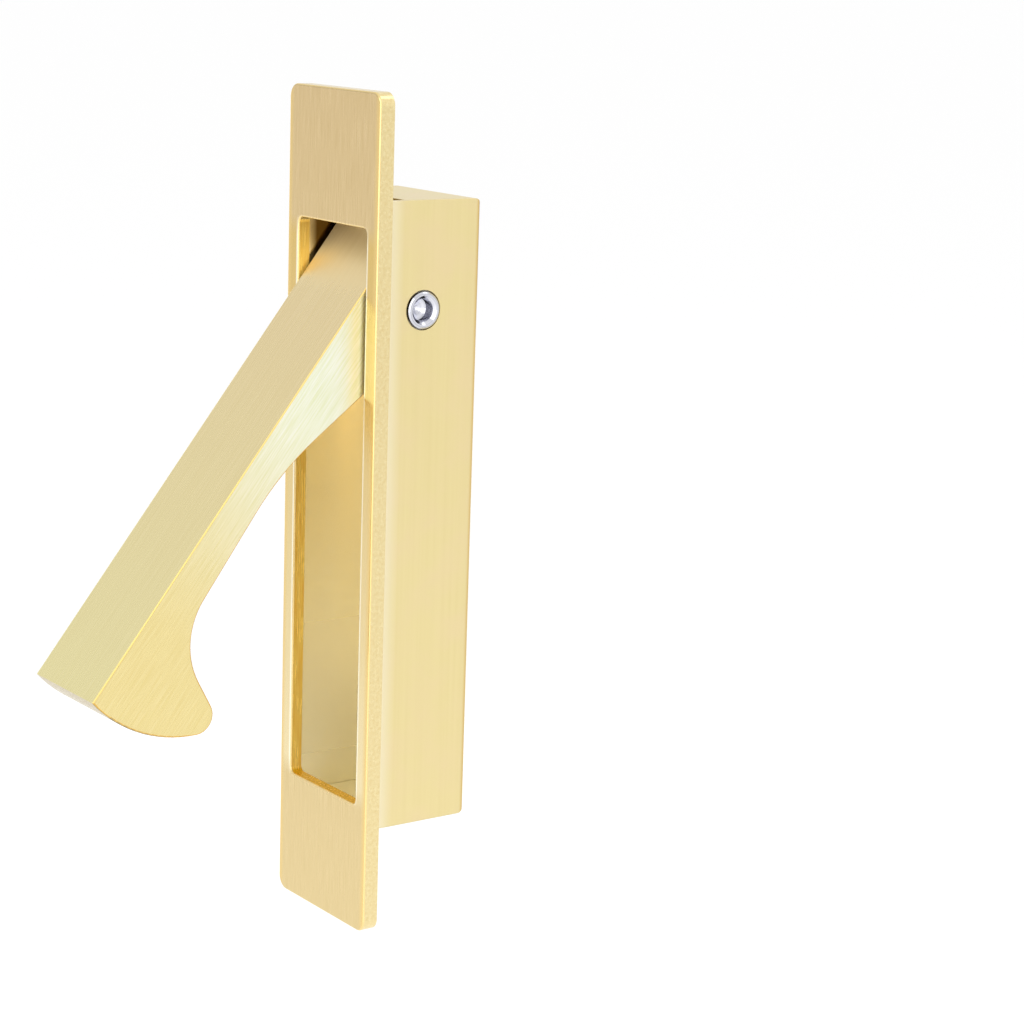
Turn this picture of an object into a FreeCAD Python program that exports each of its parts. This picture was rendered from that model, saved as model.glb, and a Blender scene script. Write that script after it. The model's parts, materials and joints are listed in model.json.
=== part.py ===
# Pocket door pull for a door's leading edge: a face plate, a folded housing behind it,
# and a hooked lever that lies flush in the plate's window and swings out on a cross pin.
# Millimetres. X runs across the door edge, Y into the door, Z up.
# The origin is the middle of the plate's back, the face that seats on the door edge.
import FreeCAD, Part
import Sketcher
import math
import os
import re

from FreeCAD import Placement, Rotation, Vector

# Driving sizes: name, value and what it measures
SIZES = [
    ("plate_height", 127.0, "face plate, top to bottom"),
    ("plate_width", 25.0, "face plate, side to side"),
    ("plate_thickness", 2.5, "face plate, front to back"),
    ("plate_corner", 2.0, "radius of the plate's corners"),
    ("plate_edge", 0.3, "rounding round the plate's front and its window"),
    ("window_height", 87.5, "window in the plate, top to bottom"),
    ("window_width", 19.0, "window in the plate, side to side"),
    ("window_corner", 1.0, "radius of the window's corners"),
    ("housing_depth", 17.4, "housing, from the plate's back to its own back"),
    ("housing_wall", 0.8, "sheet that the housing is folded from"),
    ("fold_radius", 0.8, "inside radius of the housing's folds"),
    ("side_step", 0.3, "inside of the housing's walls, out from the window's sides"),
    ("end_space", 3.25, "room in the housing above and below the window"),
    ("seat_depth", 0.5, "recess in the plate's back that holds the housing's rim"),
    ("seat_clearance", 0.1, "gap round the rim in that recess"),
    ("flap_setback", 3.8, "gap between the plate's back and the end flaps"),
    ("seam_width", 0.15, "open seam between an end flap and a side wall"),
    ("pivot_drop", 12.2, "pin's axis below the window's top"),
    ("pivot_to_back", 9.6, "pin's axis to the inside of the housing's back"),
    ("pin_diameter", 5.5, "cross pin"),
    ("pin_play", 0.25, "radial gap of the pin in the housing's holes"),
    ("pin_proud", 0.4, "pin's ends beyond the housing's sides"),
    ("pin_bevel", 0.2, "bevel on both ends of the pin"),
    ("socket_rim", 0.35, "flat ring round the socket in the pin's end"),
    ("socket_bevel", 0.45, "bevel at the socket's mouth"),
    ("socket_depth", 2.3, "socket, to the end of its straight wall"),
    ("drill_angle", 118.0, "point of the drill that made the socket"),
    ("washer_diameter", 9.0, "friction washer on the pin"),
    ("washer_gap", 0.2, "friction washer to the lever's side"),
    ("washer_play", 0.05, "radial gap of the washer on the pin"),
    ("lever_side_gap", 0.5, "lever to the window's side"),
    ("lever_recess", 0.2, "closed lever's face behind the plate's face"),
    ("lever_edge", 0.3, "rounding along the lever's sides"),
    ("swing_clearance", 0.6, "lever's top corner to the window's top as it swings by"),
    ("foot_clearance", 0.25, "lever's lowest point above the window's lower edge"),
    ("crown_radius", 1.5, "rounding of the lever's top front edge"),
    ("heel_radius", 1.0, "rounding of the heel behind it"),
    ("open_angle", 38.0, "swing of the lever, from flush to fully out"),
    ("open_clearance", 0.3, "heel to the housing's back when fully out"),
    ("shut_clearance", 0.3, "hook's nose to the housing's back when flush"),
    ("waist_thickness", 6.1, "lever just above the hook's throat"),
    ("waist_length", 21.0, "from the throat's centre up to the neck"),
    ("waist_flare", 2.5, "angle by which the waist thickens downwards"),
    ("neck_radius", 45.0, "curve between the taper and the waist"),
    ("throat_radius", 11.5, "hollow of the hook, where the fingertips lie"),
    ("throat_rise", 22.0, "throat's centre above the lever's lowest point"),
    ("beak_angle", 24.0, "slope of the hook's upper side"),
    ("nose_radius", 2.8, "tip of the hook"),
    ("foot_radius", 21.0, "round lower end of the lever"),
]

# Sizes that follow from those above, as formulas that the features share
INNER_WIDTH = "(window_width + 2 * side_step)"
INNER_HEIGHT = "(window_height + 2 * end_space)"
HOUSING_WIDTH = f"({INNER_WIDTH} + 2 * housing_wall)"
HOUSING_HEIGHT = f"({INNER_HEIGHT} + 2 * housing_wall)"
FOLD_OUTSIDE = "(fold_radius + housing_wall)"
PIVOT_Y = "(housing_depth - housing_wall - pivot_to_back)"
PIVOT_Z = "(window_height / 2 - pivot_drop)"
WASHER_THICKNESS = "(side_step + lever_side_gap - washer_gap)"
LEVER_WIDTH = "(window_width - 2 * lever_side_gap)"
LEVER_FRONT = f"({PIVOT_Y} + plate_thickness - lever_recess)"
LEVER_REACH = "(window_height - pivot_drop - foot_clearance)"
# The top front corner swings on a circle that passes under the window's top edge
LEVER_TOP = f"sqrt({PIVOT_Y} ^ 2 + (pivot_drop - swing_clearance) ^ 2 - {LEVER_FRONT} ^ 2)"
# The heel is as deep as lets it turn back to the housing's wall by the open angle
HEEL_DEPTH = (
    "(heel_radius + (pivot_to_back - open_clearance - heel_radius"
    f" - ({LEVER_TOP} - heel_radius) * sin(open_angle * 1 deg)) / cos(open_angle * 1 deg))"
)
NOSE_CENTRE = "(pivot_to_back - shut_clearance - nose_radius)"
THROAT_DROP = f"({LEVER_REACH} - throat_rise)"

# Points of a line or an arc in a sketch, and the sketch's own origin and horizontal axis
START, END, CENTRE = 1, 2, 3
ORIGIN = (-1, START)
HORIZONTAL_AXIS = -1
NEAR = 0.001

doc = FreeCAD.newDocument("PocketDoorPull")
sheet = doc.addObject("Spreadsheet::Sheet", "Sizes")
for row, (name, value, meaning) in enumerate(SIZES, start=1):
    sheet.set(f"A{row}", meaning)
    sheet.set(f"B{row}", str(value))
    sheet.setAlias(f"B{row}", name)
doc.recompute()


def from_sheet(formula):
    """A formula of size names as an expression that reads the sheet."""
    return re.sub(r"[a-z]+(_[a-z]+)+", r"Sizes.\g<0>", formula)


def size(formula):
    """The present value of a formula of size names."""
    return float(sheet.evalExpression(from_sheet(formula)))


def bind(target, path, formula):
    """Ties a property of an object to a formula of size names."""
    target.setExpression(path, from_sheet(formula))


def new_body(label):
    """An empty body whose label names the piece."""
    body = doc.addObject("PartDesign::Body", label)
    body.Label = label
    return body


def put_on_pivot(body):
    """Moves a body that is drawn round the pin's axis to the pivot."""
    bind(body, "Placement.Base.y", PIVOT_Y)
    bind(body, "Placement.Base.z", PIVOT_Z)


def origin_feature(body, role):
    """One of the body's own origin planes or axes."""
    return next(feature for feature in body.Origin.OriginFeatures if feature.Role == role)


def new_sketch(body, plane, name, offset=None):
    """A sketch on one of the body's origin planes, moved along its normal by a formula."""
    sketch = body.newObject("Sketcher::SketchObject", name)
    sketch.AttachmentSupport = [(origin_feature(body, plane), "")]
    sketch.MapMode = "FlatFace"
    if offset:
        bind(sketch, "AttachmentOffset.Base.z", offset)
    return sketch


def constrain(sketch, kind, *where):
    """A constraint without a size."""
    sketch.addConstraint(Sketcher.Constraint(kind, *where))


def dimension(sketch, formula, kind, *where):
    """A constraint with a size that follows a formula, angles in degrees."""
    value = size(formula)
    datum = math.radians(value) if kind == "Angle" else value
    index = sketch.addConstraint(Sketcher.Constraint(kind, *where, datum))
    bind(sketch, f"Constraints[{index}]", formula)


def draw_rectangle(sketch, width, height):
    """A rectangle centred on the sketch's origin."""
    half_width, half_height = size(width) / 2, size(height) / 2
    corners = [
        Vector(-half_width, -half_height),
        Vector(half_width, -half_height),
        Vector(half_width, half_height),
        Vector(-half_width, half_height),
    ]
    sides = [
        sketch.addGeometry(Part.LineSegment(corner, corners[(index + 1) % 4]))
        for index, corner in enumerate(corners)
    ]
    for index, side in enumerate(sides):
        constrain(sketch, "Coincident", side, END, sides[(index + 1) % 4], START)
        constrain(sketch, "Vertical" if index % 2 else "Horizontal", side)
    constrain(sketch, "Symmetric", sides[0], START, sides[2], START, *ORIGIN)
    dimension(sketch, width, "DistanceX", sides[0], START, sides[0], END)
    dimension(sketch, height, "DistanceY", sides[1], START, sides[1], END)


def draw_circle(sketch, diameter):
    """A circle round the sketch's origin."""
    circle = sketch.addGeometry(Part.Circle(Vector(), Vector(0, 0, 1), size(diameter) / 2))
    constrain(sketch, "Coincident", circle, CENTRE, *ORIGIN)
    dimension(sketch, diameter, "Diameter", circle)


def draw_polygon(sketch, points):
    """A closed outline through points whose two distances from the origin are formulas."""
    corners = [Vector(size(across), size(up)) for across, up in points]
    lines = [
        sketch.addGeometry(Part.LineSegment(corner, corners[(index + 1) % len(corners)]))
        for index, corner in enumerate(corners)
    ]
    for index, line in enumerate(lines):
        constrain(sketch, "Coincident", line, END, lines[(index + 1) % len(lines)], START)
        across, up = points[index]
        dimension(sketch, across, "DistanceX", *ORIGIN, line, START)
        if up == "0":
            constrain(sketch, "PointOnObject", line, START, HORIZONTAL_AXIS)
        else:
            dimension(sketch, up, "DistanceY", *ORIGIN, line, START)


def extrude(body, kind, name, sketch, length=None, side="One side", reverse=False):
    """A pad or pocket of a sketch, as long as a formula says or right through."""
    feature = body.newObject(f"PartDesign::{kind}", name)
    feature.Profile = sketch
    feature.SideType = side
    feature.Reversed = reverse
    if length:
        bind(feature, "Length", length)
    else:
        feature.Type = "ThroughAll"
    doc.recompute()
    return feature


def edges_where(feature, test):
    """Names of the edges whose bounding boxes pass a test."""
    edges = enumerate(feature.Shape.Edges, start=1)
    return [f"Edge{number}" for number, edge in edges if test(edge.BoundBox)]


def round_edges(body, name, base, edges, radius):
    """A rounding on edges of the feature before it."""
    feature = body.newObject("PartDesign::Fillet", name)
    feature.Base = (base, edges)
    bind(feature, "Radius", radius)
    doc.recompute()
    return feature


def runs_along(box, axis):
    """True for a straight edge along one axis."""
    lengths = {"X": box.XLength, "Y": box.YLength, "Z": box.ZLength}
    return all((length > NEAR) == (name == axis) for name, length in lengths.items())


def make_face_plate():
    """A flat plate with a window, and a shallow recess in its back for the housing's rim."""
    body = new_body("face_plate")
    outline = new_sketch(body, "XZ_Plane", "PlateOutline")
    draw_rectangle(outline, "plate_width", "plate_height")
    plate = extrude(body, "Pad", "Plate", outline, "plate_thickness")
    corners = edges_where(plate, lambda box: runs_along(box, "Y"))
    round_edges(body, "PlateCorners", plate, corners, "plate_corner")

    opening = new_sketch(body, "XZ_Plane", "WindowOutline")
    draw_rectangle(opening, "window_width", "window_height")
    window = extrude(body, "Pocket", "Window", opening, reverse=True)
    window_side = size("window_width") / 2 + NEAR
    corners = edges_where(
        window, lambda box: runs_along(box, "Y") and abs(box.XMin) < window_side
    )
    window = round_edges(body, "WindowCorners", window, corners, "window_corner")

    front = -size("plate_thickness")
    edges = edges_where(window, lambda box: box.YMax < front + NEAR)
    round_edges(body, "FrontEdges", window, edges, "plate_edge")

    rim = new_sketch(body, "XZ_Plane", "SeatOutline")
    draw_rectangle(
        rim, f"{HOUSING_WIDTH} + 2 * seat_clearance", f"{HOUSING_HEIGHT} + 2 * seat_clearance"
    )
    extrude(body, "Pocket", "HousingSeat", rim, "seat_depth", reverse=True)
    return body


def make_housing():
    """A box folded from one sheet: back, two side walls and two shorter end flaps."""
    body = new_body("housing")
    outline = new_sketch(body, "XZ_Plane", "HousingOutline", "seat_depth")
    draw_rectangle(outline, HOUSING_WIDTH, HOUSING_HEIGHT)
    block = extrude(body, "Pad", "Block", outline, "seat_depth + housing_depth", reverse=True)
    back = size("housing_depth")
    edges = edges_where(block, lambda box: box.YMin > back - NEAR)
    block = round_edges(body, "Folds", block, edges, FOLD_OUTSIDE)

    front = -size("seat_depth")
    mouth = next(
        f"Face{number}"
        for number, face in enumerate(block.Shape.Faces, start=1)
        if face.BoundBox.YMax < front + NEAR
    )
    shell = body.newObject("PartDesign::Thickness", "Sheet")
    shell.Base = (block, [mouth])
    shell.Reversed = True
    bind(shell, "Value", "housing_wall")
    doc.recompute()

    # The end flaps stop short of the plate, and an open seam parts them from the side walls
    past_ends = f"{HOUSING_HEIGHT} + 2 * housing_wall"
    flap_front = new_sketch(body, "XZ_Plane", "FlapFront", "seat_depth")
    draw_rectangle(flap_front, INNER_WIDTH, past_ends)
    extrude(body, "Pocket", "FlapSetback", flap_front, "seat_depth + flap_setback")
    seams = new_sketch(body, "XZ_Plane", "SeamOutline", "seat_depth")
    draw_rectangle(seams, INNER_WIDTH, f"{past_ends} + 2 * housing_wall")
    draw_rectangle(seams, f"{INNER_WIDTH} - 2 * seam_width", past_ends)
    extrude(body, "Pocket", "Seams", seams, f"seat_depth + housing_depth - {FOLD_OUTSIDE}")

    hole = new_sketch(body, "YZ_Plane", "PinHole")
    circle = hole.addGeometry(
        Part.Circle(Vector(size(PIVOT_Y), size(PIVOT_Z)), Vector(0, 0, 1), size("pin_diameter"))
    )
    dimension(hole, PIVOT_Y, "DistanceX", *ORIGIN, circle, CENTRE)
    dimension(hole, PIVOT_Z, "DistanceY", *ORIGIN, circle, CENTRE)
    dimension(hole, "pin_diameter + 2 * pin_play", "Diameter", circle)
    extrude(body, "Pocket", "PinHoles", hole, side="Symmetric")
    return body


def make_pivot_pin():
    """A turned cross pin, a little proud of the housing, with a drilled socket in one end."""
    body = new_body("pivot_pin")
    half_length = f"({HOUSING_WIDTH} / 2 + pin_proud)"
    radius = "pin_diameter / 2"
    rim = f"({radius} - pin_bevel)"
    mouth = f"({rim} - socket_rim)"
    socket_radius = f"({mouth} - socket_bevel)"
    section = new_sketch(body, "XY_Plane", "PinSection")
    draw_polygon(
        section,
        [
            (f"-{half_length}", "0"),
            (f"-{half_length}", rim),
            (f"-{half_length} + pin_bevel", radius),
            (f"{half_length} - pin_bevel", radius),
            (half_length, rim),
            (half_length, mouth),
            (f"{half_length} - socket_bevel", socket_radius),
            (f"{half_length} - socket_depth", socket_radius),
            (f"{half_length} - socket_depth - {socket_radius} / tan(drill_angle / 2 * 1 deg)", "0"),
        ],
    )
    turned = body.newObject("PartDesign::Revolution", "Turned")
    turned.Profile = section
    turned.ReferenceAxis = (origin_feature(body, "X_Axis"), [""])
    turned.Angle = 360
    doc.recompute()
    put_on_pivot(body)
    return body


def make_friction_washer(label, inner_face):
    """A flat washer on the pin, between the lever and one wall of the housing."""
    body = new_body(label)
    ring = new_sketch(body, "YZ_Plane", "Ring", inner_face)
    draw_circle(ring, "washer_diameter")
    draw_circle(ring, "pin_diameter + 2 * washer_play")
    extrude(body, "Pad", "Washer", ring, WASHER_THICKNESS)
    put_on_pivot(body)
    return body


def polar(angle, length):
    """A step of some length at an angle in radians, counterclockwise from across."""
    return Vector(length * math.cos(angle), length * math.sin(angle))


def draw_lever_outline(sketch):
    """The lever's side view when closed, round the pin: Y_local up, X_local into the door."""
    front, top, heel = -size(LEVER_FRONT), size(LEVER_TOP), size(HEEL_DEPTH)
    flare, beak = math.radians(size("waist_flare")), math.radians(size("beak_angle"))
    half_turn, quarter_turn = math.pi, math.pi / 2
    foot_radius, nose_radius = size("foot_radius"), size("nose_radius")
    throat_radius, neck_radius = size("throat_radius"), size("neck_radius")

    def arc(centre, radius, first, last):
        """A counterclockwise arc, in radians."""
        return Part.ArcOfCircle(Part.Circle(centre, Vector(0, 0, 1), radius), first, last)

    throat_across = front + size("waist_thickness") + throat_radius
    throat_centre = Vector(throat_across, -size(THROAT_DROP))
    throat_arc = arc(throat_centre, throat_radius, half_turn + flare, 3 * quarter_turn - beak)

    # The waist's line meets the taper's line at the neck, and the neck's curve rounds that corner
    waist_foot = throat_arc.StartPoint
    neck_up = throat_centre.y + size("waist_length")
    neck = Vector(waist_foot.x - (neck_up - waist_foot.y) * math.tan(flare), neck_up)
    taper_angle = math.atan2(heel - neck.x, -neck.y)
    to_neck_centre = neck_radius / math.cos((taper_angle + flare) / 2)
    neck_arc = arc(
        neck + polar((flare - taper_angle) / 2, to_neck_centre),
        neck_radius,
        half_turn - taper_angle,
        half_turn + flare,
    )

    # The nose lies under the beak's line, and the foot's curve runs on from it to the front
    beak_start = throat_arc.EndPoint
    nose_across = size(NOSE_CENTRE)
    beak_fall = (nose_across - beak_start.x) * math.tan(beak)
    nose_centre = Vector(nose_across, beak_start.y - beak_fall - nose_radius / math.cos(beak))
    foot_up = foot_radius - size(LEVER_REACH)
    nose_from_foot = math.asin((nose_centre.y - foot_up) / (foot_radius - nose_radius))
    foot_centre = nose_centre - polar(nose_from_foot, foot_radius - nose_radius)
    foot_first = -math.acos((front - foot_centre.x) / foot_radius)
    nose_arc = arc(nose_centre, nose_radius, nose_from_foot, quarter_turn - beak)
    foot_arc = arc(foot_centre, foot_radius, foot_first, nose_from_foot)

    top_front, top_back, back_end = Vector(front, top), Vector(heel, top), Vector(heel, 0)
    front_edge = sketch.addGeometry(Part.LineSegment(foot_arc.StartPoint, top_front))
    top_edge = sketch.addGeometry(Part.LineSegment(top_front, top_back))
    back_edge = sketch.addGeometry(Part.LineSegment(top_back, back_end))
    taper = sketch.addGeometry(Part.LineSegment(back_end, neck_arc.StartPoint))
    neck_curve = sketch.addGeometry(neck_arc)
    waist_edge = sketch.addGeometry(Part.LineSegment(neck_arc.EndPoint, throat_arc.StartPoint))
    throat = sketch.addGeometry(throat_arc)
    beak_edge = sketch.addGeometry(Part.LineSegment(throat_arc.EndPoint, nose_arc.EndPoint))
    nose = sketch.addGeometry(nose_arc)
    foot = sketch.addGeometry(foot_arc)
    neck_corner = sketch.addGeometry(Part.Point(neck), True)

    constrain(sketch, "Vertical", front_edge)
    constrain(sketch, "Horizontal", top_edge)
    constrain(sketch, "Vertical", back_edge)
    constrain(sketch, "Coincident", front_edge, END, top_edge, START)
    constrain(sketch, "Coincident", top_edge, END, back_edge, START)
    constrain(sketch, "Coincident", back_edge, END, taper, START)
    constrain(sketch, "Tangent", taper, END, neck_curve, START)
    constrain(sketch, "Tangent", neck_curve, END, waist_edge, START)
    constrain(sketch, "Tangent", waist_edge, END, throat, START)
    constrain(sketch, "Tangent", throat, END, beak_edge, START)
    constrain(sketch, "Tangent", beak_edge, END, nose, END)
    constrain(sketch, "Tangent", nose, START, foot, END)
    constrain(sketch, "Coincident", foot, START, front_edge, START)
    constrain(sketch, "PointOnObject", back_edge, END, HORIZONTAL_AXIS)
    constrain(sketch, "PointOnObject", neck_corner, START, taper)
    constrain(sketch, "PointOnObject", neck_corner, START, waist_edge)

    dimension(sketch, LEVER_FRONT, "DistanceX", front_edge, END, *ORIGIN)
    dimension(sketch, LEVER_TOP, "DistanceY", *ORIGIN, top_edge, START)
    dimension(sketch, HEEL_DEPTH, "DistanceX", *ORIGIN, back_edge, START)
    dimension(sketch, "throat_radius", "Radius", throat)
    dimension(sketch, THROAT_DROP, "DistanceY", throat, CENTRE, *ORIGIN)
    dimension(
        sketch, "waist_thickness + throat_radius", "DistanceX", front_edge, END, throat, CENTRE
    )
    dimension(sketch, "waist_length", "DistanceY", throat, CENTRE, neck_corner, START)
    dimension(sketch, "waist_flare - 90", "Angle", waist_edge)
    dimension(sketch, "neck_radius", "Radius", neck_curve)
    dimension(sketch, "-beak_angle", "Angle", beak_edge)
    dimension(sketch, "nose_radius", "Radius", nose)
    dimension(sketch, NOSE_CENTRE, "DistanceX", *ORIGIN, nose, CENTRE)
    dimension(sketch, "foot_radius", "Radius", foot)
    dimension(sketch, f"{LEVER_REACH} - foot_radius", "DistanceY", foot, CENTRE, *ORIGIN)


def make_pull_lever():
    """The hooked lever, drawn closed and then swung out about the pin."""
    body = new_body("pull_lever")
    outline = new_sketch(body, "YZ_Plane", "LeverOutline")
    draw_lever_outline(outline)
    draw_circle(outline, "pin_diameter")
    bar = extrude(body, "Pad", "Bar", outline, LEVER_WIDTH, side="Symmetric")

    front, top, heel = -size(LEVER_FRONT), size(LEVER_TOP), size(HEEL_DEPTH)
    at_top = edges_where(bar, lambda box: runs_along(box, "X") and box.ZMin > top - NEAR)
    crown = [edge for edge in at_top if bar.Shape.getElement(edge).BoundBox.YMin < front + NEAR]
    bar = round_edges(body, "Crown", bar, crown, "crown_radius")
    heel_edge = edges_where(
        bar,
        lambda box: runs_along(box, "X") and box.ZMin > top - NEAR and box.YMin > heel - NEAR,
    )
    bar = round_edges(body, "Heel", bar, heel_edge, "heel_radius")

    # All edges of both sides but the pin's hole, which lies close round the axis
    pin_radius = size("pin_diameter") / 2 + NEAR
    sides = edges_where(
        bar, lambda box: box.XLength < NEAR and max(box.ZMax, -box.ZMin) > pin_radius
    )
    round_edges(body, "SideEdges", bar, sides, "lever_edge")
    body.Placement = Placement(Vector(), Rotation(Vector(1, 0, 0), -size("open_angle")))
    bind(body, "Placement.Rotation.Angle", "-open_angle * 1 deg")
    put_on_pivot(body)
    return body


pieces = [
    make_face_plate(),
    make_housing(),
    make_pivot_pin(),
    make_friction_washer("friction_washer_left", f"-{INNER_WIDTH} / 2"),
    make_friction_washer("friction_washer_right", f"{INNER_WIDTH} / 2 - {WASHER_THICKNESS}"),
    make_pull_lever(),
]
doc.recompute()

for item in doc.Objects:
    if "Invalid" in item.State or "Error" in item.State:
        raise RuntimeError(f"{item.Label} did not rebuild: {item.State}")
for piece in pieces:
    if piece.Shape.isNull() or not piece.Shape.isValid() or len(piece.Shape.Solids) != 1:
        raise RuntimeError(f"{piece.Label} is not one sound solid")

os.makedirs("parts", exist_ok=True)
for piece in pieces:
    piece.Shape.exportStep(f"parts/{piece.Label}.step")
    box = piece.Shape.BoundBox
    print(piece.Label, "volume", round(piece.Shape.Volume, 1), "mm3, from",
          [round(v, 2) for v in (box.XMin, box.YMin, box.ZMin)], "to",
          [round(v, 2) for v in (box.XMax, box.YMax, box.ZMax)])
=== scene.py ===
# %% [markdown]
# A pocket door pull in satin brass
#
# This pull is let into the leading edge of a sliding door. A flat brass plate shows on the edge,
# a box folded from brass sheet hides in the door, and a hooked lever lies flush in the plate's
# window until its top is pressed. The solids are already exact, so this lesson does what is
# left: it gives each piece the finish that its maker gave it, sets soft light round it and
# puts the camera where the photographer stood.

# %% Load the exact solids
import json
import math

import bpy
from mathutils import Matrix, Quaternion, Vector


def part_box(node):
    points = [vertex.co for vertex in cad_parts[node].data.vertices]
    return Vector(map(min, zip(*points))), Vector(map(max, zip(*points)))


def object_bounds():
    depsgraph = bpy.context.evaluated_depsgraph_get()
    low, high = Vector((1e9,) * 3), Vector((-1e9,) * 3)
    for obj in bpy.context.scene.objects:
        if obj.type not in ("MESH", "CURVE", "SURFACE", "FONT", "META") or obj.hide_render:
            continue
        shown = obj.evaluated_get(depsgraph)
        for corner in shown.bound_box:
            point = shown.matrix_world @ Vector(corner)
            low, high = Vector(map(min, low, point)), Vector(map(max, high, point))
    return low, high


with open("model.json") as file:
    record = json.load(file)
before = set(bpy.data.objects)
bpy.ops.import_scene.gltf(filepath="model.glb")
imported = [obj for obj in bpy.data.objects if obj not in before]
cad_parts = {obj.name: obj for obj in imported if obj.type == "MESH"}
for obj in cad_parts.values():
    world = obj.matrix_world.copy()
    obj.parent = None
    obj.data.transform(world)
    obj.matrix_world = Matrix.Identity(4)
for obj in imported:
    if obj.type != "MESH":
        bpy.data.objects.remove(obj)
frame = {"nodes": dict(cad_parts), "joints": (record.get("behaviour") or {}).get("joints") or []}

cad_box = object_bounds()
nodes = frame["nodes"]
MM = 0.001
for name, node in sorted(nodes.items()):
    print(f"{name}: {len(node.data.polygons)} faces")

# %% [markdown]
# The camera
#
# The photographer stood to the right of the plate and a little above it, about 400 mm away. The
# place, the point aimed at and the small tilt of the horizon were worked out from the plate's
# straight edges, which all converge. A shorter lens from nearer by could frame the pull as well,
# but a long one keeps that convergence as slight as it is there.

# %% Set up the camera
CAMERA_PLACE = Vector((330.5, -208.8, 83.6)) * MM
CAMERA_AIM = Vector((15.2, 21.06, 0.58)) * MM
CAMERA_TILT = math.radians(1.88)
NEAREST_SEEN = 10 * MM
# Blender takes the sensor and the lens in millimetres
SENSOR_WIDTH = 36.0
LENS = 92.4

camera_data = bpy.data.cameras.new("camera")
camera_data.sensor_fit = "HORIZONTAL"
camera_data.sensor_width = SENSOR_WIDTH
camera_data.lens = LENS
camera_data.clip_start = NEAREST_SEEN
camera = bpy.data.objects.new("camera", camera_data)
camera.location = CAMERA_PLACE
look = (CAMERA_AIM - CAMERA_PLACE).to_track_quat("-Z", "Y")
camera.rotation_mode = "QUATERNION"
camera.rotation_quaternion = look @ Quaternion((0, 0, 1), CAMERA_TILT)
scene = bpy.context.scene
scene.collection.objects.link(camera)
scene.camera = camera
print(f"camera stands {(CAMERA_AIM - CAMERA_PLACE).length / MM:.0f} mm from its aim")

# %% [markdown]
# Tools for finishes
#
# Four small functions serve every material below. The first turns a colour that is written as an
# sRGB hex value, as a paint chart gives it, into the linear numbers that light is added up in. The
# second adds one node and fills or links its inputs: an input that is given another node takes the
# first output that this node has in use. The last two start a material and put it on a solid. Most
# inputs go by name, but a mix node has an A and a B for each kind of value, so these go by number.

# %% Define the tools
FACTOR, COLOUR_A, COLOUR_B = 0, 6, 7
VALUE_A, VALUE_B = 2, 3


def linear(hex_colour):
    """The linear RGBA of an sRGB hex colour."""
    channels = [int(hex_colour[i:i + 2], 16) / 255 for i in (1, 3, 5)]
    light = [c / 12.92 if c <= 0.04045 else ((c + 0.055) / 1.055) ** 2.4 for c in channels]
    return (*light, 1.0)


def add_node(tree, kind, inputs=None, **settings):
    """Adds a node, sets it, and fills or links its inputs."""
    node = tree.nodes.new(kind)
    for name, value in settings.items():
        setattr(node, name, value)
    for name, value in (inputs or {}).items():
        if isinstance(value, bpy.types.Node):
            value = next(socket for socket in value.outputs if socket.enabled)
        if isinstance(value, bpy.types.NodeSocket):
            tree.links.new(value, node.inputs[name])
        else:
            node.inputs[name].default_value = value
    return node


def new_material(name):
    """An empty material, its node tree and its output node."""
    material = bpy.data.materials.new(name)
    material.use_nodes = True
    material.node_tree.nodes.clear()
    output = add_node(material.node_tree, "ShaderNodeOutputMaterial")
    return material, material.node_tree, output


def dress(node_name, material):
    """Gives a solid its finish."""
    for slot in nodes[node_name].material_slots:
        slot.material = material
    print(f"{node_name} is finished as {material.name}")


print(f"mid grey, #808080, gives {linear('#808080')[0]:.2f} of the light of white")

# %% [markdown]
# Brush marks
#
# Plate and lever were drawn along a belt of abrasive cloth, which leaves fine lines that all run
# one way. They could be painted on an image, but a noise that is stretched along the stroke has
# no seams and needs no unwrapping. The real lines are about 0.05 mm wide, too fine to show here,
# so they are drawn a few tenths of a millimetre wide. Such lines also smear a highlight across
# themselves, and the shader has to be told which way that is.

# %% Define the brush marks
NOISE_LOW, NOISE_HIGH = 0.3, 0.7


def brush_marks(tree, here, width, length, turn=0.0):
    """A noise from 0 to 1, drawn out along Z or along a line that leans by some angle from it."""
    upright = add_node(tree, "ShaderNodeMapping", {"Vector": here, "Rotation": (turn, 0, 0)})
    drawn_out = add_node(tree, "ShaderNodeMapping", {
        "Vector": upright, "Scale": (1 / width, 1 / width, 1 / length)})
    return add_node(tree, "ShaderNodeTexNoise", {
        "Vector": drawn_out, "Scale": 1.0, "Detail": 1.5, "Roughness": 0.5})


def across_brush(tree, turn=0.0):
    """The direction across the brush marks, along which they smear a highlight."""
    across = add_node(tree, "ShaderNodeCombineXYZ", {
        "X": 1.0, "Y": math.cos(turn), "Z": -math.sin(turn)})
    return add_node(tree, "ShaderNodeVectorTransform", {"Vector": across},
                    vector_type="VECTOR", convert_from="OBJECT", convert_to="WORLD")


print(f"most of the noise lies between {NOISE_LOW} and {NOISE_HIGH}")

# %% [markdown]
# The face plate
#
# The plate is a strip of brass with its face brushed along its length and its rim broken by a file.
# The outer edges were cut and left a little mottled, and the walls of the window are still raw from
# the punch. Material slots could part these surfaces, but the solid's faces come as one piece, so
# the finish asks each point where it is and which way it faces: the face looks along Y, a wall of
# the window looks to the plate's middle, and an outer edge looks away from it.

# %% Find the plate's surfaces
# Width of the painted shade in the seam where the housing begins
SEAM_SHADE_WIDTH = 0.3 * MM
plate_low, plate_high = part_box("face_plate")
brass_plate, tree, output = new_material("brushed_brass_plate")
surface = add_node(tree, "ShaderNodeTexCoord")
here = surface.outputs["Object"]
facing = surface.outputs["Normal"]
facing_axis = add_node(tree, "ShaderNodeSeparateXYZ", {"Vector": facing})
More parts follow.
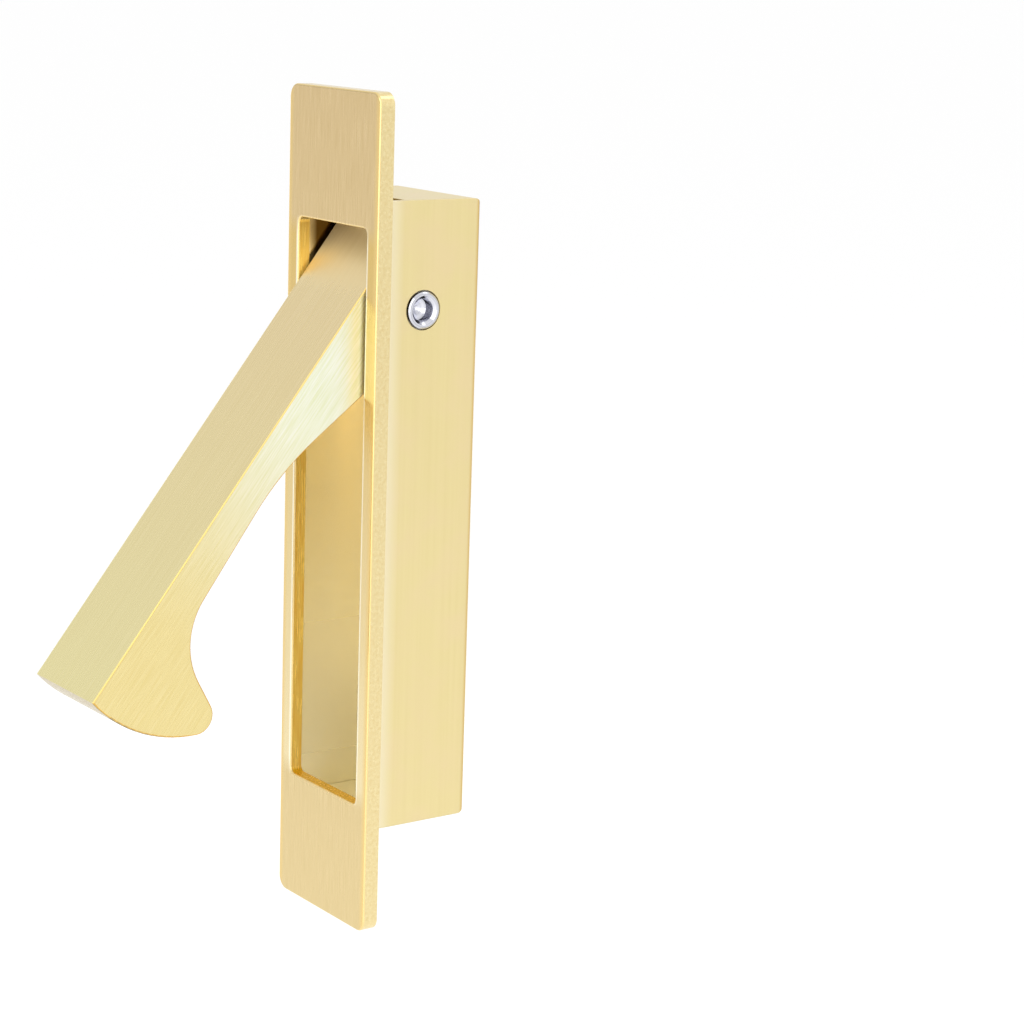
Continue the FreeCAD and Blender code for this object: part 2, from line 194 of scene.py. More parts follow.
# Near 1 the surface looks along the axis, near 0 it is a wall that runs along it
flatness = add_node(tree, "ShaderNodeMath", {0: facing_axis.outputs["Y"]}, operation="ABSOLUTE")
on_face = add_node(tree, "ShaderNodeMapRange", {
    "Value": flatness, "From Min": 0.85, "From Max": 0.98})
on_cut = add_node(tree, "ShaderNodeMapRange", {
    "Value": flatness, "From Min": 0.3, "From Max": 0.05})
outward = add_node(tree, "ShaderNodeVectorMath", {0: facing, 1: here}, operation="DOT_PRODUCT")
in_window = add_node(tree, "ShaderNodeMath", {0: outward, 1: 0.0}, operation="LESS_THAN")
under_top = add_node(tree, "ShaderNodeMapRange", {
    "Value": facing_axis.outputs["Z"], "From Min": -0.3, "From Max": -0.7})
on_sill = add_node(tree, "ShaderNodeMapRange", {
    "Value": facing_axis.outputs["Z"], "From Min": 0.3, "From Max": 0.7})
spot = add_node(tree, "ShaderNodeSeparateXYZ", {"Vector": here})
seam_shade = add_node(tree, "ShaderNodeMapRange", {
    "Value": spot.outputs["Y"], "From Min": -SEAM_SHADE_WIDTH, "From Max": -SEAM_SHADE_WIDTH / 2})
print("plate measures", [round(side / MM, 1) for side in plate_high - plate_low], "mm")

# %% [markdown]
# The plate's face
#
# Brushing gives the face two close shades of brass, and painted shade makes it a little darker high
# up than low down. The rails beside the window carry a painted reflection, pale low down and golden
# high up, a painted highlight runs along their inner edges, and the file has left a deeper gold along
# the rim. The last three could be painted by hand, but they are plain bands, so each needs only the
# distance from the plate's middle, and the absolute value of a point gives that for both sides at
# once.

# %% Find the bands on the plate's face
WINDOW_SIDE = 9.5 * MM
RAIL_FADE = 1.0 * MM
RAIL_LIGHT_ENDS = 44 * MM
RAIL_LIGHT_FULL = 41 * MM
EDGE_HIGHLIGHT_BAND = 0.6 * MM
RIM_ROUNDING = 0.3 * MM
RIM_BAND = 1.0 * MM
spread = add_node(tree, "ShaderNodeVectorMath", {0: here}, operation="ABSOLUTE")
spread_axis = add_node(tree, "ShaderNodeSeparateXYZ", {"Vector": spread})
beside = add_node(tree, "ShaderNodeMapRange", {
    "Value": spread_axis.outputs["X"], "From Min": WINDOW_SIDE - RAIL_FADE, "From Max": WINDOW_SIDE})
abreast = add_node(tree, "ShaderNodeMapRange", {
    "Value": spread_axis.outputs["Z"], "From Min": RAIL_LIGHT_ENDS, "From Max": RAIL_LIGHT_FULL})
on_rail = add_node(tree, "ShaderNodeMath", {0: beside, 1: abreast}, operation="MULTIPLY")
# Painted highlight: a near-white band along the rails' inner edges
at_window = add_node(tree, "ShaderNodeMapRange", {
    "Value": spread_axis.outputs["X"],
    "From Min": WINDOW_SIDE + EDGE_HIGHLIGHT_BAND, "From Max": WINDOW_SIDE + EDGE_HIGHLIGHT_BAND / 2})
edge_highlight = add_node(tree, "ShaderNodeMath", {0: at_window, 1: on_rail}, operation="MULTIPLY")
near_rim = add_node(tree, "ShaderNodeMapRange", {
    "Value": spread_axis.outputs["X"],
    "From Min": plate_high.x - RIM_ROUNDING - RIM_BAND, "From Max": plate_high.x - RIM_ROUNDING})
print(f"rails are {(plate_high.x - WINDOW_SIDE) / MM:.1f} mm wide")

# %% Colour the plate's face
marks = brush_marks(tree, here, width=0.25 * MM, length=6 * MM)
# Painted shade: the face is coloured a little darker high up than low down
up_plate = add_node(tree, "ShaderNodeMapRange", {
    "Value": spot.outputs["Z"], "From Min": plate_low.z, "From Max": plate_high.z})
lower_colour = add_node(tree, "ShaderNodeMix", {
    FACTOR: marks, COLOUR_A: linear("#D3BC84"), COLOUR_B: linear("#E8D29E")}, data_type="RGBA")
upper_colour = add_node(tree, "ShaderNodeMix", {
    FACTOR: marks, COLOUR_A: linear("#C6AA75"), COLOUR_B: linear("#EBD2A2")}, data_type="RGBA")
brushed_shaded_colour = add_node(tree, "ShaderNodeMix", {
    FACTOR: up_plate, COLOUR_A: lower_colour, COLOUR_B: upper_colour}, data_type="RGBA")
# Painted reflection on the rails: pale low down, golden high up
rail_colour = add_node(tree, "ShaderNodeMix", {
    FACTOR: up_plate, COLOUR_A: linear("#F0E2B8"), COLOUR_B: linear("#D8B45C")}, data_type="RGBA")
rail_reflection_colour = add_node(tree, "ShaderNodeMix", {
    FACTOR: on_rail, COLOUR_A: brushed_shaded_colour, COLOUR_B: rail_colour}, data_type="RGBA")
highlighted_colour = add_node(tree, "ShaderNodeMix", {
    FACTOR: edge_highlight, COLOUR_A: rail_reflection_colour, COLOUR_B: linear("#FFFAE4")}, data_type="RGBA")
face_colour = add_node(tree, "ShaderNodeMix", {
    FACTOR: near_rim, COLOUR_A: highlighted_colour, COLOUR_B: linear("#EACB84")}, data_type="RGBA")
print(f"plate's face takes {len(tree.nodes)} nodes")

# %% [markdown]
# The plate's edges and window
#
# The cut edges have a fine mottle, about half a millimetre in size. The punch left its own lines in
# the window and a deeper colour. The top wall, which faces down, gets painted shade, the lower one the
# purest gold, and the seam where the housing begins a dark painted shade. Each wall could have a
# material of its own, but one chain of mixes is easier to follow: each lays a colour over the last, as
# coats of paint would.

# %% Colour the plate's edges and window
MOTTLE = 0.5 * MM
mottle = add_node(tree, "ShaderNodeTexNoise", {
    "Vector": here, "Scale": 1 / MOTTLE, "Detail": 4.0, "Roughness": 0.65})
punch_lines = brush_marks(tree, here, width=0.3 * MM, length=5 * MM)
cut_colour = add_node(tree, "ShaderNodeMix", {
    FACTOR: mottle, COLOUR_A: linear("#D7BA7A"), COLOUR_B: linear("#FAEEBD")}, data_type="RGBA")
punched_colour = add_node(tree, "ShaderNodeMix", {
    FACTOR: punch_lines, COLOUR_A: linear("#DFA636"), COLOUR_B: linear("#FFE682")}, data_type="RGBA")
# Painted shade on the window's top wall, which faces down
top_wall_shade_colour = add_node(tree, "ShaderNodeMix", {
    FACTOR: under_top, COLOUR_A: punched_colour, COLOUR_B: linear("#A89868")}, data_type="RGBA")
sill_colour = add_node(tree, "ShaderNodeMix", {
    FACTOR: on_sill, COLOUR_A: top_wall_shade_colour, COLOUR_B: linear("#EEB822")}, data_type="RGBA")
# Painted shade in the seam where the housing begins
window_colour = add_node(tree, "ShaderNodeMix", {
    FACTOR: seam_shade, COLOUR_A: sill_colour, COLOUR_B: linear("#8E6A2E")}, data_type="RGBA")
wall_colour = add_node(tree, "ShaderNodeMix", {
    FACTOR: in_window, COLOUR_A: cut_colour, COLOUR_B: window_colour}, data_type="RGBA")
edge_colour = add_node(tree, "ShaderNodeMix", {
    FACTOR: on_cut, COLOUR_A: linear("#EED494"), COLOUR_B: wall_colour}, data_type="RGBA")
plate_colour = add_node(tree, "ShaderNodeMix", {
    FACTOR: on_face, COLOUR_A: edge_colour, COLOUR_B: face_colour}, data_type="RGBA")
print(f"with its edges and window the plate takes {len(tree.nodes)} nodes")

# %% [markdown]
# The plate's sheen
#
# Each brush line is a tiny groove that catches light on one side. Grooves could be carved into the
# mesh, but that would take millions of faces and change the solid, so the noise that colours the
# surface also tilts its shading a little and makes it rougher here and smoother there. Tarnish
# mirrors less than bare metal does, so the walls of the window are only partly metal.

# %% Finish the plate
# Satin brass: a soft, even sheen on the face, a livelier one on the cut edges, tarnish in the window
SCRATCH_DEPTH = 0.02 * MM
bare = add_node(tree, "ShaderNodeMapRange", {"Value": in_window, "To Min": 1.0, "To Max": 0.45})
cut_pattern = add_node(tree, "ShaderNodeMix", {
    FACTOR: in_window, VALUE_A: mottle, VALUE_B: punch_lines}, data_type="FLOAT")
pattern = add_node(tree, "ShaderNodeMix", {
    FACTOR: on_face, VALUE_A: cut_pattern, VALUE_B: marks}, data_type="FLOAT")
rough = add_node(tree, "ShaderNodeMapRange", {
    "Value": pattern, "From Min": NOISE_LOW, "From Max": NOISE_HIGH, "To Min": 0.18, "To Max": 0.30})
bump = add_node(tree, "ShaderNodeBump", {
    "Height": pattern, "Strength": 0.15, "Distance": SCRATCH_DEPTH})
metal = add_node(tree, "ShaderNodeBsdfPrincipled", {
    "Base Color": plate_colour, "Metallic": bare, "Roughness": rough,
    "Anisotropic": 0.5, "Tangent": across_brush(tree), "Normal": bump})
tree.links.new(metal.outputs["BSDF"], output.inputs["Surface"])
dress("face_plate", brass_plate)

# %% [markdown]
# The housing
#
# The box behind the plate is folded from thin brass sheet, and its inside and its outside differ. A
# point is on the inside where it lies nearer the centre than the middle of the sheet does, on every
# side. A fold is where the surface looks along none of the axes, and there the sheet gets painted
# shade.

# %% Find the housing's surfaces
SHEET = 0.8 * MM
PALE_STRIP = 3.5 * MM
JOINT_HIGHLIGHT_STRIP = 0.6 * MM
housing_low, housing_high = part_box("housing")
brass_sheet, tree, output = new_material("satin_brass_sheet")
surface = add_node(tree, "ShaderNodeTexCoord")
here = surface.outputs["Object"]
mid_sheet = housing_high - Vector((SHEET, SHEET, SHEET)) / 2
spread = add_node(tree, "ShaderNodeVectorMath", {0: here}, operation="ABSOLUTE")
beyond = add_node(tree, "ShaderNodeVectorMath", {0: spread, 1: mid_sheet}, operation="SUBTRACT")
beyond_axis = add_node(tree, "ShaderNodeSeparateXYZ", {"Vector": beyond})
beyond_xy = add_node(tree, "ShaderNodeMath", {
    0: beyond_axis.outputs["X"], 1: beyond_axis.outputs["Y"]}, operation="MAXIMUM")
beyond_all = add_node(tree, "ShaderNodeMath", {
    0: beyond_xy, 1: beyond_axis.outputs["Z"]}, operation="MAXIMUM")
inside = add_node(tree, "ShaderNodeMath", {0: beyond_all, 1: 0.0}, operation="LESS_THAN")
straight = add_node(tree, "ShaderNodeVectorMath", {
    0: surface.outputs["Normal"]}, operation="ABSOLUTE")
straight_axis = add_node(tree, "ShaderNodeSeparateXYZ", {"Vector": straight})
straight_xy = add_node(tree, "ShaderNodeMath", {
    0: straight_axis.outputs["X"], 1: straight_axis.outputs["Y"]}, operation="MAXIMUM")
straight_all = add_node(tree, "ShaderNodeMath", {
    0: straight_xy, 1: straight_axis.outputs["Z"]}, operation="MAXIMUM")
on_fold = add_node(tree, "ShaderNodeMapRange", {
    "Value": straight_all, "From Min": 0.995, "From Max": 0.85})
spot = add_node(tree, "ShaderNodeSeparateXYZ", {"Vector": here})
by_plate = add_node(tree, "ShaderNodeMapRange", {
    "Value": spot.outputs["Y"], "From Min": PALE_STRIP, "From Max": 0.0})
joint_highlight = add_node(tree, "ShaderNodeMapRange", {
    "Value": spot.outputs["Y"], "From Min": JOINT_HIGHLIGHT_STRIP, "From Max": JOINT_HIGHLIGHT_STRIP / 2})
print("housing measures", [round(side / MM, 1) for side in housing_high - housing_low], "mm")

# %% [markdown]
# The housing's outside
#
# Outside, it has the cloudy satin of sheet as it comes from the mill, rolled along its length. It
# has painted shade, a deeper gold, along the folds, is paler beside the plate, and carries a painted
# highlight along the joint itself. A picture of rolled sheet would show where it repeats, so a long,
# thin noise draws the rolling and a broad one the clouds. The real rolling lines are far finer and
# would not show, so they are drawn coarser.

# %% Colour the housing's outside
CLOUD = 6 * MM
rolled = brush_marks(tree, here, width=0.6 * MM, length=40 * MM)
cloud = add_node(tree, "ShaderNodeTexNoise", {"Vector": here, "Scale": 1 / CLOUD, "Detail": 3.0})
rolled_colour = add_node(tree, "ShaderNodeMix", {
    FACTOR: rolled, COLOUR_A: linear("#E5D399"), COLOUR_B: linear("#EBDBA4")}, data_type="RGBA")
cloudy_share = add_node(tree, "ShaderNodeMapRange", {
    "Value": cloud, "From Min": 0.4, "From Max": NOISE_HIGH, "To Max": 0.6})
cloudy_colour = add_node(tree, "ShaderNodeMix", {
    FACTOR: cloudy_share, COLOUR_A: rolled_colour, COLOUR_B: linear("#EAD5A6")}, data_type="RGBA")
# Paler beside the plate
paler_colour = add_node(tree, "ShaderNodeMix", {
    FACTOR: by_plate, COLOUR_A: cloudy_colour, COLOUR_B: linear("#F3EACB")}, data_type="RGBA")
# Painted shade along the folds, where the surface turns
fold_shade_colour = add_node(tree, "ShaderNodeMix", {
    FACTOR: on_fold, COLOUR_A: paler_colour, COLOUR_B: linear("#D6B466")}, data_type="RGBA")
# Painted highlight: a near-white strip along the joint with the plate
outside_colour = add_node(tree, "ShaderNodeMix", {
    FACTOR: joint_highlight, COLOUR_A: fold_shade_colour, COLOUR_B: linear("#FDF8EA")}, data_type="RGBA")
print(f"housing's outside takes {len(tree.nodes)} nodes")

# %% [markdown]
# The housing's inside
#
# Inside is the same metal, but light gets in only through the window and bounces from wall to wall,
# and each bounce makes it more golden. Painting that gold on would be wrong in other light, so the
# inside gets a pale, almost white metal colour, painted light that brightens the dim inside, and the
# bounces do the rest. It is dullest low down, where fingertips rub, and darkened with painted shade
# high up beside the pin.

# %% Colour the housing's inside
PIN_SHADE_BEGINS = 26 * MM
PIN_SHADE_FULL = 34 * MM
PIN_SHADE_FADE = 1.5 * MM
WORN_MOST = -45 * MM
WORN_LEAST = 15 * MM
high_up = add_node(tree, "ShaderNodeMapRange", {
    "Value": spot.outputs["Z"], "From Min": PIN_SHADE_BEGINS, "From Max": PIN_SHADE_FULL})
deep_in = add_node(tree, "ShaderNodeMapRange", {
    "Value": spot.outputs["Y"], "From Min": housing_low.y, "From Max": housing_low.y + PIN_SHADE_FADE})
pin_shade = add_node(tree, "ShaderNodeMath", {0: high_up, 1: deep_in}, operation="MULTIPLY")
up_housing = add_node(tree, "ShaderNodeMapRange", {
    "Value": spot.outputs["Z"], "From Min": WORN_MOST, "From Max": WORN_LEAST})
# Painted light: the inside is coloured almost white, paler than the metal, to brighten it
brightened_colour = add_node(tree, "ShaderNodeMix", {
    FACTOR: up_housing, COLOUR_A: linear("#FFF7D6"), COLOUR_B: linear("#FFF4D6")}, data_type="RGBA")
# Painted shade high up inside, beside the pin
shaded_inside_colour = add_node(tree, "ShaderNodeMix", {
    FACTOR: pin_shade, COLOUR_A: brightened_colour, COLOUR_B: linear("#7A602E")}, data_type="RGBA")
sheet_colour = add_node(tree, "ShaderNodeMix", {
    FACTOR: inside, COLOUR_A: outside_colour, COLOUR_B: shaded_inside_colour}, data_type="RGBA")
print(f"with its inside the housing takes {len(tree.nodes)} nodes")

# %% [markdown]
# The housing's sheen
#
# Shears leave the edges of a sheet a little round. That could be modelled, but at a tenth of a
# millimetre or so a node that softens the shading near an edge looks the same and leaves the solid
# alone. Inside, what the fingers touch wears a film, which is rougher than the metal and mirrors less.

# %% Finish the housing
# Mill-finished sheet: a duller sheen than the plate's, with edges that the shears rounded a little
SHEARED_EDGE = 0.15 * MM
dull = add_node(tree, "ShaderNodeMapRange", {
    "Value": rolled, "From Min": NOISE_LOW, "From Max": NOISE_HIGH, "To Min": 0.32, "To Max": 0.40})
rubbed = add_node(tree, "ShaderNodeMapRange", {
    "Value": up_housing, "To Min": 0.28, "To Max": 0.18})
rough = add_node(tree, "ShaderNodeMix", {
    FACTOR: inside, VALUE_A: dull, VALUE_B: rubbed}, data_type="FLOAT")
worn = add_node(tree, "ShaderNodeMapRange", {"Value": up_housing, "To Min": 0.55, "To Max": 1.0})
bare = add_node(tree, "ShaderNodeMix", {
    FACTOR: inside, VALUE_A: 1.0, VALUE_B: worn}, data_type="FLOAT")
rounded = add_node(tree, "ShaderNodeBevel", {"Radius": SHEARED_EDGE}, samples=4)
metal = add_node(tree, "ShaderNodeBsdfPrincipled", {
    "Base Color": sheet_colour, "Metallic": bare, "Roughness": rough,
    "Anisotropic": 0.3, "Tangent": across_brush(tree), "Normal": rounded})
tree.links.new(metal.outputs["BSDF"], output.inputs["Surface"])
dress("housing", brass_sheet)

# %% [markdown]
# The lever
#
# The lever is a brass bar with a hook at its end, brushed along its length. It swings, so the brush
# lines must lean with it. They could be drawn in the room's directions, but then they would slide
# over the metal, so they are drawn in the lever's own, turned by the swing of its joint. The same
# turn tells its surfaces apart: front, flanks, hollow side, foot, and the roundings between them.

# %% Find the lever's surfaces
TURN = math.radians(frame["joints"][0]["range_deg"][1])
brass_lever, tree, output = new_material("brushed_brass_lever")
surface = add_node(tree, "ShaderNodeTexCoord")
here = surface.outputs["Object"]
facing = add_node(tree, "ShaderNodeMapping", {
    "Vector": surface.outputs["Normal"], "Rotation": (TURN, 0, 0)})
facing_axis = add_node(tree, "ShaderNodeSeparateXYZ", {"Vector": facing})
sideways = add_node(tree, "ShaderNodeMath", {0: facing_axis.outputs["X"]}, operation="ABSOLUTE")
on_flank = add_node(tree, "ShaderNodeMapRange", {
    "Value": sideways, "From Min": 0.9, "From Max": 0.99})
on_rounding = add_node(tree, "ShaderNodeMapRange", {
    "Value": sideways, "From Min": 0.05, "From Max": 0.3})
to_front = add_node(tree, "ShaderNodeMapRange", {
    "Value": facing_axis.outputs["Y"], "From Min": -0.1, "From Max": -0.4})
on_front = add_node(tree, "ShaderNodeMapRange", {
    "Value": facing_axis.outputs["Y"], "From Min": -0.85, "From Max": -0.97})
on_foot = add_node(tree, "ShaderNodeMapRange", {
    "Value": facing_axis.outputs["Z"], "From Min": -0.5, "From Max": -0.9})
along = add_node(tree, "ShaderNodeMapping", {"Vector": here, "Rotation": (TURN, 0, 0)})
along_axis = add_node(tree, "ShaderNodeSeparateXYZ", {"Vector": along})
print(f"lever leans {math.degrees(TURN):.0f} degrees when it is out")

# %% [markdown]
# The lever's front, hollow side and foot
#
# The front is coloured darker towards its top as painted shade, and paler and greener towards the
# hook. The hollow side is deeper in colour, the roundings deeper still, and the foot, which faces
# down, is a shade darker with painted shade. One brass for all of them could do from afar, but from
# near by they differ, so each surface has its own shades, and the brush lines mix them.

# %% Colour the lever's front, hollow side and foot
FRONT_TOP = 20 * MM
FRONT_FOOT = -45 * MM
marks = brush_marks(tree, here, width=0.4 * MM, length=14 * MM, turn=TURN)
# Painted shade: the front is coloured darker towards its top
down_front = add_node(tree, "ShaderNodeMapRange", {
    "Value": along_axis.outputs["Z"], "From Min": FRONT_TOP, "From Max": FRONT_FOOT})
upper_colour = add_node(tree, "ShaderNodeMix", {
    FACTOR: marks, COLOUR_A: linear("#E6D09A"), COLOUR_B: linear("#F1DEB0")}, data_type="RGBA")
lower_colour = add_node(tree, "ShaderNodeMix", {
    FACTOR: marks, COLOUR_A: linear("#F0E4A6"), COLOUR_B: linear("#F8EEB6")}, data_type="RGBA")
shaded_front_colour = add_node(tree, "ShaderNodeMix", {
    FACTOR: down_front, COLOUR_A: upper_colour, COLOUR_B: lower_colour}, data_type="RGBA")
rounding_colour = add_node(tree, "ShaderNodeMix", {
    FACTOR: to_front, COLOUR_A: linear("#DDAE54"), COLOUR_B: linear("#DDBE74")}, data_type="RGBA")
hollow_colour = add_node(tree, "ShaderNodeMix", {
    FACTOR: marks, COLOUR_A: linear("#E4C984"), COLOUR_B: linear("#F4E0A2")}, data_type="RGBA")
turned_colour = add_node(tree, "ShaderNodeMix", {
    FACTOR: on_rounding, COLOUR_A: hollow_colour, COLOUR_B: rounding_colour}, data_type="RGBA")
# Painted shade on the foot, which faces down
shaded_foot_colour = add_node(tree, "ShaderNodeMix", {
    FACTOR: on_foot, COLOUR_A: turned_colour, COLOUR_B: linear("#B09C64")}, data_type="RGBA")
face_colour = add_node(tree, "ShaderNodeMix", {
    FACTOR: on_front, COLOUR_A: shaded_foot_colour, COLOUR_B: shaded_front_colour}, data_type="RGBA")
print(f"lever's front, hollow side and foot take {len(tree.nodes)} nodes")

# %% [markdown]
# The lever's flanks
#
# The flanks are freshly ground: a coarse cut, painted pale and almost silvery as a painted highlight,
# which fades to smooth gold towards the hook, where the flank was polished again. A straight ramp
# could blend the two, but it shows where it starts and ends, so the blend follows a smooth step along
# the lever's length.

# %% Colour the lever's flanks
POLISHED_END = -34 * MM
GROUND_END = 14 * MM
ground = brush_marks(tree, here, width=0.25 * MM, length=6 * MM, turn=TURN)
fresh = add_node(tree, "ShaderNodeMapRange", {
    "Value": along_axis.outputs["Z"], "From Min": POLISHED_END, "From Max": GROUND_END},
    interpolation_type="SMOOTHSTEP")
# Ground lines with a painted highlight: pale up to pure white
ground_highlight_colour = add_node(tree, "ShaderNodeMix", {
    FACTOR: ground, COLOUR_A: linear("#DCE2A6"), COLOUR_B: linear("#FFFFFF")}, data_type="RGBA")
hook_colour = add_node(tree, "ShaderNodeMix", {
    FACTOR: ground, COLOUR_A: linear("#E1CC86"), COLOUR_B: linear("#F2E2A8")}, data_type="RGBA")
flank_colour = add_node(tree, "ShaderNodeMix", {
    FACTOR: fresh, COLOUR_A: hook_colour, COLOUR_B: ground_highlight_colour}, data_type="RGBA")
lever_colour = add_node(tree, "ShaderNodeMix", {
    FACTOR: on_flank, COLOUR_A: face_colour, COLOUR_B: flank_colour}, data_type="RGBA")
print(f"with its flanks the lever takes {len(tree.nodes)} nodes")

# %% [markdown]
# The lever's sheen
#
# A coarser cut scatters light more widely, so the ground flank is rougher and its lines are deeper.
# The top end, which the thumb presses, has dulled. Roughness alone could show that, but a film also
# hides some of the metal, so the surface is made a little less metallic there too.

# %% Finish the lever
# Brushed brass: it mirrors the studio softly, drawn out across its lines
DULL_BEGINS = 24 * MM
DULL_FULL = 32 * MM
dulled = add_node(tree, "ShaderNodeMapRange", {
    "Value": along_axis.outputs["Z"], "From Min": DULL_BEGINS, "From Max": DULL_FULL})
pattern = add_node(tree, "ShaderNodeMix", {
    FACTOR: on_flank, VALUE_A: marks, VALUE_B: ground}, data_type="FLOAT")
coarse = add_node(tree, "ShaderNodeMath", {0: on_flank, 1: fresh}, operation="MULTIPLY")
brushed_rough = add_node(tree, "ShaderNodeMapRange", {
    "Value": pattern, "From Min": NOISE_LOW, "From Max": NOISE_HIGH, "To Min": 0.20, "To Max": 0.32})
blurred = add_node(tree, "ShaderNodeMath", {0: coarse, 1: dulled}, operation="MAXIMUM")
rough = add_node(tree, "ShaderNodeMix", {
    FACTOR: blurred, VALUE_A: brushed_rough, VALUE_B: 0.4}, data_type="FLOAT")
cut_depth = add_node(tree, "ShaderNodeMapRange", {"Value": coarse, "To Min": 0.05, "To Max": 0.3})
bump = add_node(tree, "ShaderNodeBump", {
    "Height": pattern, "Strength": cut_depth, "Distance": SCRATCH_DEPTH})
bare = add_node(tree, "ShaderNodeMapRange", {"Value": dulled, "To Min": 1.0, "To Max": 0.68})
metal = add_node(tree, "ShaderNodeBsdfPrincipled", {
    "Base Color": lever_colour, "Metallic": bare, "Roughness": rough,
    "Anisotropic": 0.5, "Tangent": across_brush(tree, TURN), "Normal": bump})
tree.links.new(metal.outputs["BSDF"], output.inputs["Surface"])
dress("pull_lever", brass_lever)

# %% [markdown]
# The pin
#
# The cross pin is turned steel, the one cold colour on the pull. A lathe leaves fine rings round the
# axis. A ring-shaped wave could draw them evenly, but real ones are uneven, so they are a noise of
# one value: the distance from the axis. They are drawn coarser than they are, to show at all.

# %% Turn the pin
RING_WIDTH = 0.3 * MM
pin_low, pin_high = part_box("pivot_pin")
pivot = (pin_low + pin_high) / 2
turned_steel, tree, output = new_material("turned_steel")
surface = add_node(tree, "ShaderNodeTexCoord")
from_pivot = add_node(tree, "ShaderNodeVectorMath", {
    0: surface.outputs["Object"], 1: pivot}, operation="SUBTRACT")
from_axis = add_node(tree, "ShaderNodeVectorMath", {
    0: from_pivot, 1: (0, 1, 1)}, operation="MULTIPLY")
radius = add_node(tree, "ShaderNodeVectorMath", {0: from_axis}, operation="LENGTH")
rings = add_node(tree, "ShaderNodeTexNoise", {
    "W": radius, "Scale": 1 / RING_WIDTH, "Detail": 2.0}, noise_dimensions="1D")
rough = add_node(tree, "ShaderNodeMapRange", {
    "Value": rings, "From Min": NOISE_LOW, "From Max": NOISE_HIGH, "To Min": 0.06, "To Max": 0.18})
steel_colour = add_node(tree, "ShaderNodeMix", {
    FACTOR: rings, COLOUR_A: linear("#9C9EA8"), COLOUR_B: linear("#F4F4FA")}, data_type="RGBA")
# Turned steel: bright, hard reflections, cut into rings
metal = add_node(tree, "ShaderNodeBsdfPrincipled", {
    "Base Color": steel_colour, "Metallic": 1.0, "Roughness": rough})
tree.links.new(metal.outputs["BSDF"], output.inputs["Surface"])
dress("pivot_pin", turned_steel)

# %% [markdown]
# The washers
#
# Two thin washers hold the lever where it is left. They hide between the lever and the housing, so
# only a glimpse of them can ever be seen. They are moulded nylon: a milky plastic, never quite even.
# Light could be made to scatter inside it, but for so small a glimpse a soft cloud is enough.

# %% Mould the washers
MILKINESS = 1.5 * MM
nylon, tree, output = new_material("moulded_nylon")
surface = add_node(tree, "ShaderNodeTexCoord")
milk = add_node(tree, "ShaderNodeTexNoise", {
    "Vector": surface.outputs["Object"], "Scale": 1 / MILKINESS, "Detail": 2.0})
nylon_colour = add_node(tree, "ShaderNodeMix", {
    FACTOR: milk, COLOUR_A: linear("#CBC6B6"), COLOUR_B: linear("#DFDBCE")}, data_type="RGBA")
# Nylon: milky and soft, with a dull sheen
plastic = add_node(tree, "ShaderNodeBsdfPrincipled", {
    "Base Color": nylon_colour, "Roughness": 0.5, "IOR": 1.53})
tree.links.new(plastic.outputs["BSDF"], output.inputs["Surface"])
dress("friction_washer_left", nylon)
dress("friction_washer_right", nylon)

# %% [markdown]
# The floor
#
# The pull is shown on plain white, as if held up over a table of white paper. The paper could be made
# to glow, but then it would lose the pull's shadow. It is plain matt white instead, and the tent
# round it is just bright enough to show it as white.

# %% Lay the floor
FLOOR_DROP = 300 * MM
FLOOR_SIZE = 200.0
low, high = cad_box
bpy.ops.mesh.primitive_plane_add(size=FLOOR_SIZE, location=(0, 0, low[2] - FLOOR_DROP))
floor = bpy.context.object
floor.name = "floor"
# White paper: matt, with no sheen of its own
white_paper, tree, output = new_material("white_paper")
paper = add_node(tree, "ShaderNodeBsdfDiffuse", {"Color": linear("#FEFEFE")})
tree.links.new(paper.outputs["BSDF"], output.inputs["Surface"])
floor.data.materials.append(white_paper)
print(f"floor lies {FLOOR_DROP / MM:.0f} mm below the plate")

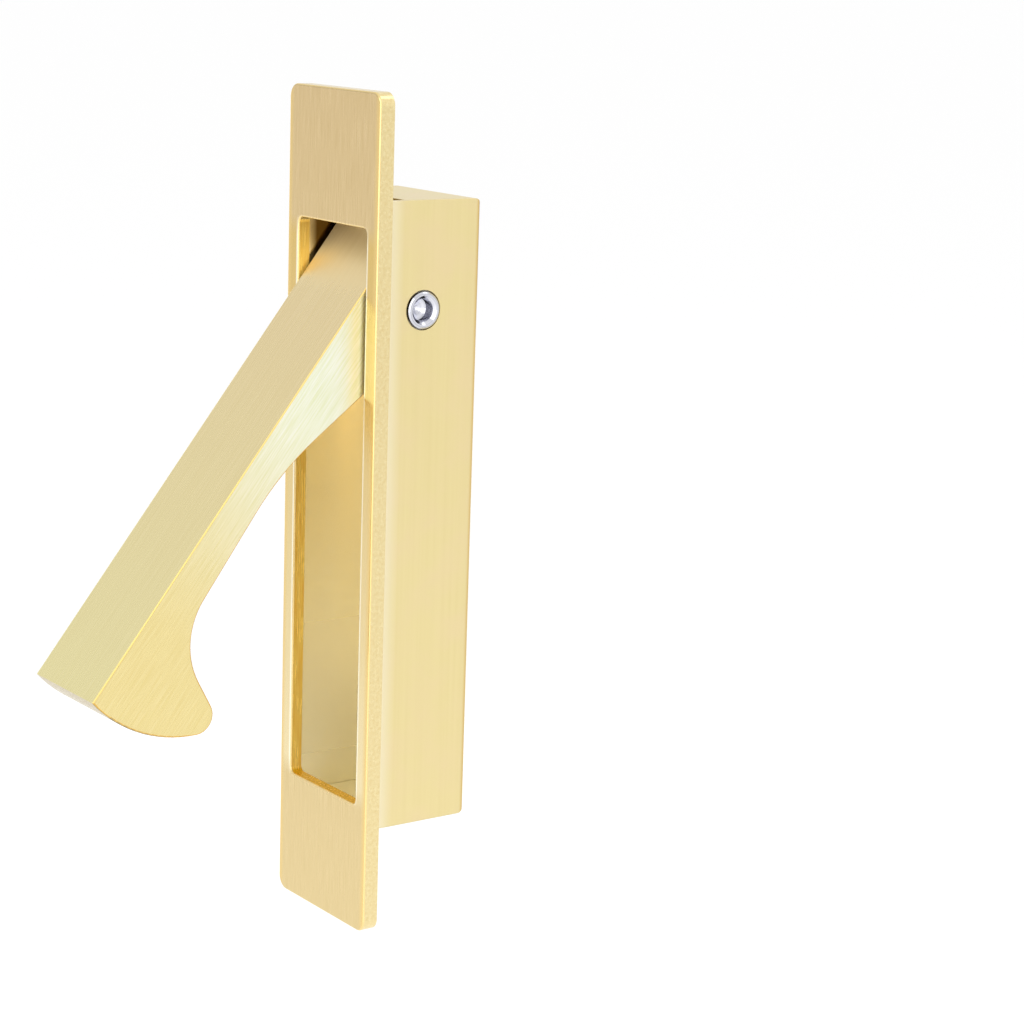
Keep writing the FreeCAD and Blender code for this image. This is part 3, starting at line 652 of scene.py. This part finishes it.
# %% [markdown]
# The light
#
# Metal shows what stands round it, so the studio is the greater part of its colour. A white tent
# surrounds the pull, a little darker to the front and left, which the plate's face mirrors, and
# brighter behind and above. A picture of a studio could do the same, but a tent that brightens
# evenly along one direction needs no picture.

# %% Hang the white tent
TENT_LEVEL = 0.908
TENT_SLOPE = Vector((0.08, 0.14, 0.14))
world = bpy.data.worlds.new("white_tent")
scene.world = world
world.use_nodes = True
tree = world.node_tree
tree.nodes.clear()
view = add_node(tree, "ShaderNodeTexCoord")
slope = add_node(tree, "ShaderNodeVectorMath", {
    0: view.outputs["Generated"], 1: TENT_SLOPE}, operation="DOT_PRODUCT")
level = add_node(tree, "ShaderNodeMath", {0: slope, 1: TENT_LEVEL}, operation="ADD")
sky = add_node(tree, "ShaderNodeBackground", {"Color": linear("#FFFFFF"), "Strength": level})
add_node(tree, "ShaderNodeOutputWorld", {"Surface": sky})
darkest, brightest = TENT_LEVEL - TENT_SLOPE.length, TENT_LEVEL + TENT_SLOPE.length
print(f"tent shines from {darkest:.2f} to {brightest:.2f}")

# %% [markdown]
# The softboxes
#
# Three softboxes add what a tent alone would lack: one in front draws the thin bright lines along
# the rounded edges, one at the left draws the line beside the window, and one overhead puts a
# highlight on the plate's upper corner. Their power could be set by eye, but here it follows from
# how bright the box looks and from its size, so a box that is resized stays as bright to look at.


# %% Place the softboxes
def softbox(name, place, size, radiance):
    """A square lamp that faces the pull and looks equally bright from any distance."""
    lamp = bpy.data.lights.new(name, "AREA")
    lamp.shape = "SQUARE"
    lamp.size = size
    lamp.energy = radiance * math.pi * size ** 2
    box = bpy.data.objects.new(name, lamp)
    box.location = place
    box.rotation_mode = "QUATERNION"
    box.rotation_quaternion = (-Vector(place)).to_track_quat("-Z", "Y")
    box.visible_camera = False
    scene.collection.objects.link(box)
    print(f"{name} gives {lamp.energy:.2f} W")


softbox("front_softbox", place=(0.65, -0.95, 0.45), size=1.6, radiance=1.05)
softbox("left_softbox", place=(-1.15, 0.30, -0.05), size=0.5, radiance=1.2)
softbox("top_softbox", place=(0.24, 0.70, 0.94), size=0.4, radiance=1.0)
scene.view_settings.view_transform = "Standard"
